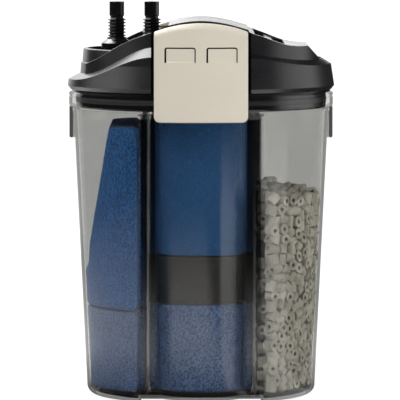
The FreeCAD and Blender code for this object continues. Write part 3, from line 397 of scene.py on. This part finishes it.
def smoky(name, body_color, clear_tint, edge_shade_tint, skin, roughness, shine=2.0, thick_and_shade=None):
    """See-through smoky plastic: a thin glossy skin over a tint that deepens along the wall, partly as painted
    shade, with painted shade in its thick and shaded places when a tint for them is given.
    """
    material, tree, output = graph(name)
    patches = use(tree, moulded_grain, {"Patch Scale": 18.0}).outputs["Patches"]
    facing = put(tree, "ShaderNodeLayerWeight", {"Blend": 0.5}).outputs["Facing"]
    # The outer face darkens where it turns from the eye, partly for the longer path through the plastic and
    # partly as painted shade
    steep = times(tree, step_up(tree, facing, *STEEP_START), use(tree, outer_skin).outputs["Mask"])
    tint = blend_to(tree, steep, clear_tint, edge_shade_tint)
    loose = LOOSE_TINT
    # Painted shade: the grooves, lugs and foot are tinted darker, partly for thick plastic and partly as
    # shade, also for light passing in
    if thick_and_shade:
        mask = use(tree, thick_and_shaded_places).outputs["Mask"]
        tint = blend_to(tree, mask, tint, thick_and_shade)
        loose = blend_to(tree, mask, loose, THICK_AND_SHADE_LOOSE_TINT)
    path = put(tree, "ShaderNodeLightPath")
    tint = blend_to(tree, path.outputs["Is Camera Ray"], loose, tint)
    clear = put(tree, "ShaderNodeBsdfTransparent", {"Color": tint})
    shader = put(tree, "ShaderNodeBsdfPrincipled", {
        "Base Color": blend_to(tree, patches, body_color, [part * 1.15 for part in body_color]),
        "Roughness": ranged(tree, patches, 0.0, 1.0, roughness * 0.8, roughness * 1.3),
        "IOR": shine,
        "Specular IOR Level": 1.0,
    })
    mixed = put(tree, "ShaderNodeMixShader", {0: skin, 1: clear.outputs[0], 2: shader.outputs[0]})
    tree.links.new(mixed.outputs[0], output.inputs["Surface"])
    return material


def open_foam(name, skin_color, pore_shade_color, cell):
    """Open-cell foam: pale struts round pores painted dark as the shade inside the cells."""
    material, tree, output = graph(name)
    place = object_place(tree)
    drift = speckle(tree, place, 60.0, 3.0)
    even = ranged(tree, drift, 0.3, 0.7, 0.75, 1.0)
    hole = step_up(tree, cells(tree, place, 1.0 / cell).outputs["Distance"], 0.15, 0.65)
    bump = put(tree, "ShaderNodeBump", {"Height": hole, "Distance": cell * 0.5, "Strength": 0.8})
    # The pores are painted darker as the shade inside the open cells
    shader = put(tree, "ShaderNodeBsdfPrincipled", {
        "Base Color": blend_to(tree, times(tree, hole, even), pore_shade_color, skin_color),
        "Roughness": 0.95,
        "Normal": bump.outputs["Normal"],
        "Specular IOR Level": 0.1,
        "Sheen Weight": 0.15,
    })
    tree.links.new(shader.outputs[0], output.inputs["Surface"])
    return material


def fired_ceramic(name, color, dark_color):
    """Rough fired clay, whose tone changes from place to place."""
    material, tree, output = graph(name)
    place = object_place(tree)
    patch = put(tree, "ShaderNodeSeparateColor", {"Color": cells(tree, place, 110.0).outputs["Color"]})
    pits = speckle(tree, place, 1500.0, 3.0)
    bump = put(tree, "ShaderNodeBump", {"Height": pits, "Distance": 0.0002, "Strength": 0.7})
    shader = put(tree, "ShaderNodeBsdfPrincipled", {
        "Base Color": blend_to(tree, times(tree, patch.outputs[0], pits), dark_color, color),
        "Roughness": 0.85,
        "Normal": bump.outputs["Normal"],
    })
    tree.links.new(shader.outputs[0], output.inputs["Surface"])
    return material


def granules(name, color, gap_shade_color):
    """Carbon granules behind a fine net, with the gaps between granules painted a little darker as shade."""
    material, tree, output = graph(name)
    # The sunken gaps between granules are painted darker as shade
    gap = step_up(tree, cells(tree, object_place(tree), 450.0).outputs["Distance"], 0.2, 0.7)
    bump = put(tree, "ShaderNodeBump", {"Height": gap, "Distance": 0.0006, "Strength": 0.6}, invert=True)
    shader = put(tree, "ShaderNodeBsdfPrincipled", {
        "Base Color": blend_to(tree, gap, color, gap_shade_color),
        "Roughness": 0.7,
        "Normal": bump.outputs["Normal"],
    })
    tree.links.new(shader.outputs[0], output.inputs["Surface"])
    return material


def paint(obj, material):
    """Gives an object one material."""
    obj.data.materials.clear()
    obj.data.materials.append(material)


def add_object(name, bm):
    """A new object in the scene from a bmesh, which is freed."""
    mesh = bpy.data.meshes.new(name)
    bm.to_mesh(mesh)
    bm.free()
    obj = bpy.data.objects.new(name, mesh)
    bpy.context.scene.collection.objects.link(obj)
    return obj


def apply_modifiers(obj):
    """Puts the result of an object's modifiers into its mesh."""
    depsgraph = bpy.context.evaluated_depsgraph_get()
    mesh = bpy.data.meshes.new_from_object(obj.evaluated_get(depsgraph))
    obj.modifiers.clear()
    obj.data = mesh


def foam_from(node_name, piece_name, material):
    """Foam block in the space of its plain solid, with soft edges and a torn-cell surface."""
    bm = bmesh.new()
    bm.from_mesh(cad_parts[node_name].data)
    bmesh.ops.remove_doubles(bm, verts=bm.verts, dist=1e-6)
    obj = add_object(piece_name, bm)
    remesh = obj.modifiers.new("cells", "REMESH")
    remesh.mode = "VOXEL"
    remesh.voxel_size = FOAM_VOXEL
    apply_modifiers(obj)
    bm = bmesh.new()
    bm.from_mesh(obj.data)
    for _ in range(FOAM_SOFTENING):
        bmesh.ops.smooth_vert(bm, verts=bm.verts, factor=0.5,
                              use_axis_x=True, use_axis_y=True, use_axis_z=True)
    bm.normal_update()
    shifts = []
    for vert in bm.verts:
        coarse = noise.noise(vert.co * FOAM_COARSE_SCALE)
        fine = noise.noise(vert.co * FOAM_FINE_SCALE)
        shifts.append(vert.normal * FOAM_ROUGHNESS * (0.6 * coarse + 0.5 * fine - 0.8))
    for vert, shift in zip(bm.verts, shifts):
        vert.co += shift
    bm.to_mesh(obj.data)
    bm.free()
    obj.data.polygons.foreach_set("use_smooth", [True] * len(obj.data.polygons))
    paint(obj, material)
    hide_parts(node_name)
    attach(obj, "canister")


def ring_shape():
    """Mesh of a short hollow cylinder on its own centre."""
    bm = bmesh.new()
    end = RING_LENGTH / 2
    corners = [(RING_BORE, -end), (RING_OUTER, -end), (RING_OUTER, end), (RING_BORE, end)]
    verts = [bm.verts.new((r, 0, z)) for r, z in corners]
    edges = [bm.edges.new((verts[i], verts[(i + 1) % 4])) for i in range(4)]
    bmesh.ops.spin(bm, geom=verts + edges, cent=(0, 0, 0), axis=(0, 0, 1), angle=math.tau, steps=RING_SIDES,
                   use_merge=True)
    bmesh.ops.remove_doubles(bm, verts=bm.verts, dist=1e-7)
    bmesh.ops.recalc_face_normals(bm, faces=bm.faces)
    mesh = bpy.data.meshes.new("ceramic ring shape")
    bm.to_mesh(mesh)
    bm.free()
    return mesh


def nearest_wall(place, low):
    """Depth of a point of the chamber behind its nearest wall, and the way out through that wall."""
    across, ahead, height = place
    reach = TUB_BASE_RADIUS + TUB_SLOPE * height - TUB_WALL
    round_depth = reach - math.hypot(across, ahead)
    found = [
        (round_depth, Vector((across, ahead, 0.0)).normalized()),
        (across - low.x, Vector((-1, 0, 0))),
    ]
    side = Vector((0, math.copysign(1.0, ahead), 0))
    floor_gap = RECESS_FLOOR_Y - TUB_WALL - abs(ahead)
    edge_gap = across - RECESS_HALF_WIDTH - TUB_WALL
    if edge_gap < RECESS_EDGE_REACH:
        found.append((max(floor_gap, edge_gap), side if floor_gap > edge_gap else Vector((-1, 0, 0))))
    return min(found, key=lambda pair: pair[0])


def heap_fall(across, ahead, low, high):
    """How far the top of the heap lies below its highest place, at the back beside the partition."""
    fall_x = HEAP_FALL_X * (across - low.x) / (high.x - low.x)
    fall_y = HEAP_FALL_Y * (high.y - ahead) / (high.y - low.y)
    return fall_x + fall_y


def ring_places(low, high):
    """Ring centres packed loosely in the right-hand chamber, each kept a ring's radius inside the walls."""
    chooser = np.random.default_rng(7)
    places = chooser.uniform((low.x, low.y, low.z), (high.x, high.y, high.z), (RING_COUNT, 3))
    keep = RING_OUTER + RING_CLEARANCE
    corner_x = RECESS_HALF_WIDTH + TUB_WALL + keep + chooser.uniform(0.0, HEAP_UNEVENNESS, RING_COUNT)
    corner_y = RECESS_FLOOR_Y - TUB_WALL - keep - chooser.uniform(0.0, HEAP_UNEVENNESS, RING_COUNT)
    heap = chooser.uniform(-HEAP_UNEVENNESS, 0.0, RING_COUNT)
    for _ in range(SETTLING_ROUNDS):
        # Rings closer than the spacing push each other away
        apart = places[:, None, :] - places[None, :, :]
        gaps = np.sqrt((apart ** 2).sum(axis=2) + 1e-9) + np.eye(RING_COUNT)
        push = np.clip(RING_SPACING - gaps, 0.0, None) / gaps
        jitter = chooser.normal(0.0, SETTLING_JITTER, (RING_COUNT, 3))
        places = places + SETTLING_PUSH * (apart * push[:, :, None]).sum(axis=1) + jitter
        # Then each comes back under the heap's top, over the floor and inside the round wall
        top = high.z + heap - heap_fall(places[:, 0], places[:, 1], low, high) - keep
        places[:, 2] = np.clip(places[:, 2], low.z + keep, top)
        places[:, 0] = np.maximum(places[:, 0], low.x + keep)
        reach = TUB_BASE_RADIUS + TUB_SLOPE * places[:, 2] - TUB_WALL - keep
        shrink = np.minimum(1.0, reach / np.hypot(places[:, 0], places[:, 1]))
        places[:, :2] *= shrink[:, None]
        # Those in the recess leave it by the nearer of its two walls
        side = np.abs(places[:, 1]) - corner_y
        inward = corner_x - places[:, 0]
        caught = (side > 0) & (inward > 0)
        by_side = caught & (side < inward)
        places[:, 1] = np.where(by_side, np.sign(places[:, 1]) * corner_y, places[:, 1])
        places[:, 0] = np.where(caught & ~by_side, corner_x, places[:, 0])
        half = np.sqrt(np.clip(reach ** 2 - places[:, 0] ** 2, 0.0, None))
        places[:, 1] = np.clip(places[:, 1], -half, half)
    return [Vector(place) for place in places]


def ring_bed(material):
    """Loose ceramic rings heaped in the right-hand chamber; those at the wall lie flat or end on."""
    low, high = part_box("ceramic_rings")
    shape = ring_shape()
    chooser = np.random.default_rng(11)
    up = Vector((0, 0, 1))
    bm = bmesh.new()
    for place in ring_places(low, high):
        depth, outward = nearest_wall(place, low)
        buried = high.z - heap_fall(place.x, place.y, low, high) - place.z
        if depth > HEAP_SHOWN_DEPTH and buried > HEAP_SHOWN_DEPTH:
            continue
        axis = Vector(chooser.normal(0.0, 1.0, 3))
        if depth < WALL_BAND_RADII * RING_OUTER:
            turn = chooser.uniform(0.0, math.pi)
            axis = outward.cross(up) * math.cos(turn) + up * math.sin(turn)
            if chooser.uniform() < END_ON_SHARE:
                axis = outward.copy()
            axis = axis + WALL_TILT * Vector(chooser.normal(0.0, 1.0, 3))
        turned = axis.normalized().to_track_quat("Z", "Y").to_matrix().to_4x4()
        before = len(bm.verts)
        bm.from_mesh(shape)
        bm.verts.ensure_lookup_table()
        bmesh.ops.transform(bm, matrix=Matrix.Translation(place) @ turned, verts=bm.verts[before:])
    obj = add_object("ring_bed", bm)
    paint(obj, material)
    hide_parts("ceramic_rings")
    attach(obj, "canister")


def reflected_card(tree, direction):
    """What shiny surfaces mirror: soft cards beside and behind the object, one high on its left, and
    a faint glow. Directions have length 1, and a bearing goes from the front toward the right."""
    x, y, z = split(tree, direction)
    bearing = calc(tree, "ARCTAN2", x, times(tree, y, -1.0))
    behind = step_up(tree, y, 0.05, 0.3)
    back_left = times(tree, between(tree, x, -0.55, -0.12, 0.12), behind, step_up(tree, z, 0.15, 0.3))
    low_back = times(tree, between(tree, x, -0.5, 0.1, 0.12), behind, between(tree, z, -0.12, 0.12, 0.05))
    middle_back = times(tree, between(tree, x, -0.12, 0.12, 0.06), behind, between(tree, z, 0.02, 0.35, 0.05))
    top_left = times(tree, between(tree, x, -0.8, -0.3, 0.15), step_up(tree, z, 0.5, 0.8))
    left = times(tree, between(tree, bearing, -2.0, -1.3, 0.35), between(tree, z, 0.17, 0.7, 0.06))
    right = times(tree, between(tree, bearing, 1.45, 1.95, 0.3), between(tree, z, -0.06, 0.5, 0.03))
    right_low = times(tree, between(tree, bearing, 0.72, 1.42, 0.1), step_up(tree, z, -0.09, -0.14))
    cards = [(back_left, 2.5), (low_back, 1.0), (top_left, 11.0), (left, 2.5), (right, 1.5), (right_low, 1.3),
             (middle_back, 1.15)]
    faint_glow = 0.03
    return added(tree, *[times(tree, card, strength) for card, strength in cards], faint_glow)


def backdrop_mesh():
    """Bmesh of a floor that turns up into the backdrop in one sweep."""
    bm = bmesh.new()
    profile = [(FLOOR_FRONT, 0.0), (BACKDROP_Y - BACKDROP_BEND, 0.0)]
    for step in range(1, BEND_STEPS + 1):
        angle = math.pi / 2 * step / BEND_STEPS
        profile.append((BACKDROP_Y - BACKDROP_BEND + BACKDROP_BEND * math.sin(angle),
                        BACKDROP_BEND - BACKDROP_BEND * math.cos(angle)))
    profile.append((BACKDROP_Y, BACKDROP_HEIGHT))
    verts = [bm.verts.new((-FLOOR_HALF, y, z)) for y, z in profile]
    edges = [bm.edges.new(pair) for pair in zip(verts, verts[1:])]
    made = bmesh.ops.extrude_edge_only(bm, edges=edges)
    new = [item for item in made["geom"] if isinstance(item, bmesh.types.BMVert)]
    bmesh.ops.translate(bm, verts=new, vec=(2 * FLOOR_HALF, 0, 0))
    bmesh.ops.recalc_face_normals(bm, faces=bm.faces)
    return bm


def studio_paper():
    """Paper that looks white to the camera, bounces light as pale grey and shows cards to shiny surfaces."""
    material, tree, output = graph("studio paper")
    path = put(tree, "ShaderNodeLightPath")
    seen = calc(tree, "MAXIMUM", path.outputs["Is Camera Ray"], path.outputs["Is Transmission Ray"])
    paper = put(tree, "ShaderNodeBsdfDiffuse", {"Color": (0.8, 0.8, 0.8, 1.0)})
    faint = put(tree, "ShaderNodeBsdfDiffuse", {"Color": (0.25, 0.25, 0.25, 1.0)})
    place = put(tree, "ShaderNodeNewGeometry").outputs["Position"]
    from_lid = vector_calc(tree, "ADD", place, (0.0, 0.0, -LID_LEVEL)).outputs[0]
    direction = vector_calc(tree, "NORMALIZE", from_lid).outputs[0]
    far = length_of(tree, place)
    glow = put(tree, "ShaderNodeEmission", {
        "Color": WHITE,
        "Strength": added(tree, times(tree, step_up(tree, far, 1.2, 3.5), 0.15), 0.85),
    })
    white = put(tree, "ShaderNodeAddShader", {0: faint.outputs[0], 1: glow.outputs[0]})
    x, _, _ = split(tree, place)
    near = times(tree, step_up(tree, far, 1.3, 0.5), step_up(tree, far, 0.15, 0.35),
                 step_up(tree, x, 0.3, 0.1))
    mirrored = put(tree, "ShaderNodeEmission", {
        "Color": WHITE,
        "Strength": added(tree, reflected_card(tree, direction), times(tree, near, 1.25)),
    })
    lit = put(tree, "ShaderNodeMixShader", {
        0: path.outputs["Is Glossy Ray"], 1: paper.outputs[0], 2: mirrored.outputs[0],
    })
    mixed = put(tree, "ShaderNodeMixShader", {0: seen, 1: lit.outputs[0], 2: white.outputs[0]})
    tree.links.new(mixed.outputs[0], output.inputs["Surface"])
    return material


def stage_floor():
    """The studio floor and backdrop, which belong to the stage."""
    floor = add_object("studio_floor", backdrop_mesh())
    for polygon in floor.data.polygons:
        polygon.use_smooth = True
    paint(floor, studio_paper())


def softbox(name, place, aim, width, height, power):
    """A rectangular area light that shiny surfaces don't mirror."""
    light = bpy.data.lights.new(name, "AREA")
    light.shape = "RECTANGLE"
    light.size = width
    light.size_y = height
    light.energy = power
    obj = bpy.data.objects.new(name, light)
    bpy.context.scene.collection.objects.link(obj)
    obj.location = place
    obj.rotation_mode = "QUATERNION"
    obj.rotation_quaternion = (Vector(place) - Vector(aim)).to_track_quat("Z", "Y")
    obj.visible_glossy = False


def place_camera(scene):
    """The camera of the main view."""
    camera_data = bpy.data.cameras.new("camera")
    camera_data.lens = CAMERA_LENS
    camera_data.sensor_width = CAMERA_SENSOR
    camera_data.clip_end = CAMERA_REACH
    camera = bpy.data.objects.new("camera", camera_data)
    scene.collection.objects.link(camera)
    camera.location = CAMERA_PLACE
    camera.rotation_euler = (math.radians(90.0 - CAMERA_PITCH), 0, 0)
    scene.camera = camera


def surround(scene):
    """The world: white to the camera, cards to shiny surfaces and a soft fill to the rest."""
    world = bpy.data.worlds.new("studio")
    scene.world = world
    world.use_nodes = True
    tree = world.node_tree
    tree.nodes.clear()
    output = tree.nodes.new("ShaderNodeOutputWorld")
    path = put(tree, "ShaderNodeLightPath")
    fill = put(tree, "ShaderNodeBackground", {"Color": (0.95, 0.97, 1.0, 1.0), "Strength": 0.55})
    white = put(tree, "ShaderNodeBackground", {"Color": WHITE, "Strength": 1.0})
    direction = put(tree, "ShaderNodeTexCoord").outputs["Generated"]
    mirrored = put(tree, "ShaderNodeBackground", {
        "Color": WHITE, "Strength": reflected_card(tree, direction),
    })
    mixed = put(tree, "ShaderNodeMixShader", {
        0: path.outputs["Is Camera Ray"], 1: fill.outputs[0], 2: white.outputs[0],
    })
    mixed = put(tree, "ShaderNodeMixShader", {
        0: path.outputs["Is Glossy Ray"], 1: mixed.outputs[0], 2: mirrored.outputs[0],
    })
    tree.links.new(mixed.outputs[0], output.inputs["Surface"])


def studio():
    """Camera, world and lights."""
    scene = bpy.context.scene
    scene.view_settings.view_transform = "Standard"
    place_camera(scene)
    surround(scene)
    softbox("key", (-1.3, -1.9, 1.9), OBJECT_MIDDLE, width=1.2, height=1.2, power=30)
    softbox("side strip", (1.75, -1.05, 0.85), OBJECT_MIDDLE, width=1.6, height=1.7, power=21)
    softbox("back left", (-0.73, 1.80, 1.38), (0, 0, 0.28), width=1.1, height=0.8, power=14)
    softbox("overhead", (0.1, 0.2, 2.3), OBJECT_MIDDLE, width=1.4, height=1.4, power=14)


tub_material = smoky("smoky tub", body_color=(0.006, 0.006, 0.006), clear_tint=(0.893, 0.893, 0.880),
                     edge_shade_tint=(0.54, 0.54, 0.53), skin=0.2, roughness=0.08, shine=1.7, thick_and_shade=THICK_AND_SHADE_TINT)
partition_material = smoky("smoky partition", body_color=(0.05, 0.05, 0.05), clear_tint=(0.8, 0.8, 0.8),
                           edge_shade_tint=(0.15, 0.15, 0.15), skin=0.3, roughness=0.15)
# The black lid is painted with deep shade in the narrow gaps beside the clips
lid_material = moulding("black lid", (0.0075, 0.0075, 0.0085), (0.05, 0.05, 0.052), 0.27,
                        grain_depth=0.00001, shade=clip_gap_shade)
pump_material = moulding("satin black", (0.0015, 0.0015, 0.002), (0.03, 0.03, 0.03), 0.18,
                         grain_depth=0.000005, gloss=0.25)
connector_material = moulding("gloss black", (0.003, 0.003, 0.0034), (0.04, 0.04, 0.04), 0.18,
                              grain_depth=0.000005, coat=0.15, gloss=0.35)
# The clips are painted with deep shade in the slits round their finger pockets
clip_material = moulding("warm beige", (0.545, 0.495, 0.405), (0.83, 0.79, 0.7), 0.42, wear=0.6,
                         radius=0.0008, shade=slit_shade)
seal_material = moulding("seal rubber", (0.015, 0.015, 0.015), (0.05, 0.05, 0.05), 0.6)
steel_material = moulding("stainless", (0.55, 0.55, 0.56), (0.8, 0.8, 0.8), 0.25, metallic=1.0)
shaft_material = moulding("ground ceramic", (0.75, 0.73, 0.68), (0.9, 0.9, 0.88), 0.3)
impeller_material = moulding("impeller plastic", (0.45, 0.46, 0.47), (0.7, 0.7, 0.7), 0.35)
magnet_material = moulding("sintered magnet", (0.04, 0.04, 0.042), (0.15, 0.15, 0.15), 0.55, metallic=0.6)
core_material = moulding("core sheets", (0.25, 0.25, 0.26), (0.5, 0.5, 0.5), 0.4, metallic=1.0)
bobbin_material = moulding("bobbin plastic", (0.6, 0.58, 0.5), (0.8, 0.8, 0.76), 0.4)
copper_material = moulding("copper winding", (0.5, 0.2, 0.07), (0.8, 0.45, 0.25), 0.35, metallic=1.0)
upper_blue = open_foam("blue foam", (0.028, 0.14, 0.37), (0.006, 0.035, 0.12), cell=0.0021)
smooth_blue = open_foam("close blue foam", (0.034, 0.12, 0.29), (0.012, 0.065, 0.18), cell=0.0014)
lower_blue = open_foam("pale blue foam", (0.136, 0.206, 0.37), (0.016, 0.042, 0.12), cell=0.0018)
ceramic_material = fired_ceramic("fired ceramic", (0.77, 0.75, 0.62), (0.34, 0.325, 0.27))
carbon_material = granules("carbon granules", (0.035, 0.033, 0.028), (0.025, 0.023, 0.02))

finishes = {
    tub_material: ["canister"],
    partition_material: ["left_partition", "right_partition", "base_grid"],
    carbon_material: ["carbon_cartridge"],
    lid_material: ["lid_cover"],
    pump_material: ["lid_base", "impeller_cover", "motor_cover"],
    seal_material: ["lid_gasket", "inlet_seal", "outlet_seal", "bottom_bushing", "top_bushing", "cable_gland"],
    steel_material: ["lid_screws", "front_hinge_pin", "rear_hinge_pin"],
    shaft_material: ["ceramic_shaft"],
    impeller_material: ["impeller"],
    magnet_material: ["rotor_magnet"],
    core_material: ["stator_core"],
    bobbin_material: ["coil_bobbins"],
    copper_material: ["coils"],
    connector_material: ["inlet_connector", "outlet_connector"],
    clip_material: ["front_clip", "rear_clip"],
}
for finish, names in finishes.items():
    for name in names:
        paint(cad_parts[name], finish)

foam_from("left_upper_foam", "left_upper_sponge", upper_blue)
foam_from("left_lower_foam", "left_lower_sponge", lower_blue)
foam_from("centre_upper_foam", "centre_upper_sponge", smooth_blue)
foam_from("centre_lower_foam", "centre_lower_sponge", lower_blue)
ring_bed(ceramic_material)

stage_floor()
studio()
